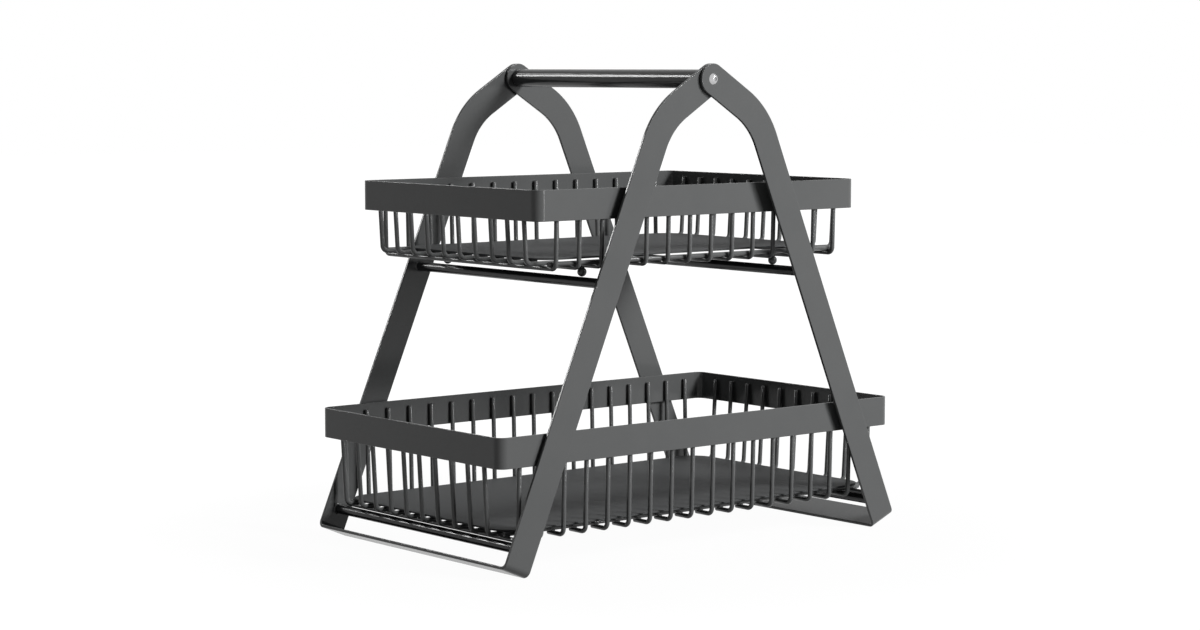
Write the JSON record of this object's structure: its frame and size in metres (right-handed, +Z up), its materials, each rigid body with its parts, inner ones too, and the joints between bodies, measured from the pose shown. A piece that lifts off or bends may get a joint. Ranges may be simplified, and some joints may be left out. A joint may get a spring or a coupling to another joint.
{
  "type": "two-tier wire basket stand",
  "caption": "Two-tier countertop stand: folding flat-strip legs with a round carrying handle hold two loose wire baskets, each with a flat band rim and a solid base plate.",
  "frame": {"origin": "on the floor plane, midway between the two feet and midway across the depth", "axes": "+X along the baskets' length, +Y along the handle towards the back, +Z up"},
  "size_m": [0.4206, 0.2659, 0.3962],
  "materials": {
    "powder_coat": "satin powder coat",
    "basket_coat": "satin powder coat",
    "bright_steel": "bright plated steel"
  },
  "bodies": {
    "right_frame": {"right_leg_frame": "powder_coat", "upper_right_crossbar": "powder_coat", "lower_right_crossbar": "powder_coat"},
    "left_frame": {"left_leg_frame": "powder_coat", "upper_left_crossbar": "powder_coat", "lower_left_crossbar": "powder_coat", "handle_bar": "powder_coat", "front_pivot_screw": "bright_steel", "back_pivot_screw": "bright_steel", "front_pivot_washer": "bright_steel", "back_pivot_washer": "bright_steel"},
    "upper_basket": {"upper_rim": "basket_coat", "upper_base_plate": "basket_coat", "upper_ball_studs": "basket_coat", "upper_front_rod": "basket_coat", "upper_back_rod": "basket_coat", "upper_left_cross_wire": "basket_coat", "upper_right_cross_wire": "basket_coat", "upper_front_wires": "basket_coat", "upper_back_wires": "basket_coat", "upper_left_wires": "basket_coat", "upper_right_wires": "basket_coat"},
    "lower_basket": {"lower_rim": "basket_coat", "lower_base_plate": "basket_coat", "lower_front_rod": "basket_coat", "lower_back_rod": "basket_coat", "lower_left_cross_wire": "basket_coat", "lower_right_cross_wire": "basket_coat", "lower_front_wires": "basket_coat", "lower_back_wires": "basket_coat", "lower_left_wires": "basket_coat", "lower_right_wires": "basket_coat"}
  },
  "joints": [
    {"name": "frame_fold", "type": "hinge", "parent": "right_frame", "child": "left_frame", "pos_m": [0, 0, 0.3837], "axis": [0, -1, 0], "range_deg": [0, 51]},
    {"name": "upper_basket_draw", "type": "slide", "parent": "right_frame", "child": "upper_basket", "axis": [-0.9659, 0, 0.2588], "range_m": [0, 0.4]},
    {"name": "lower_basket_draw", "type": "slide", "parent": "right_frame", "child": "lower_basket", "axis": [-0.9659, 0, 0.2588], "range_m": [0, 0.44]}
  ]
}
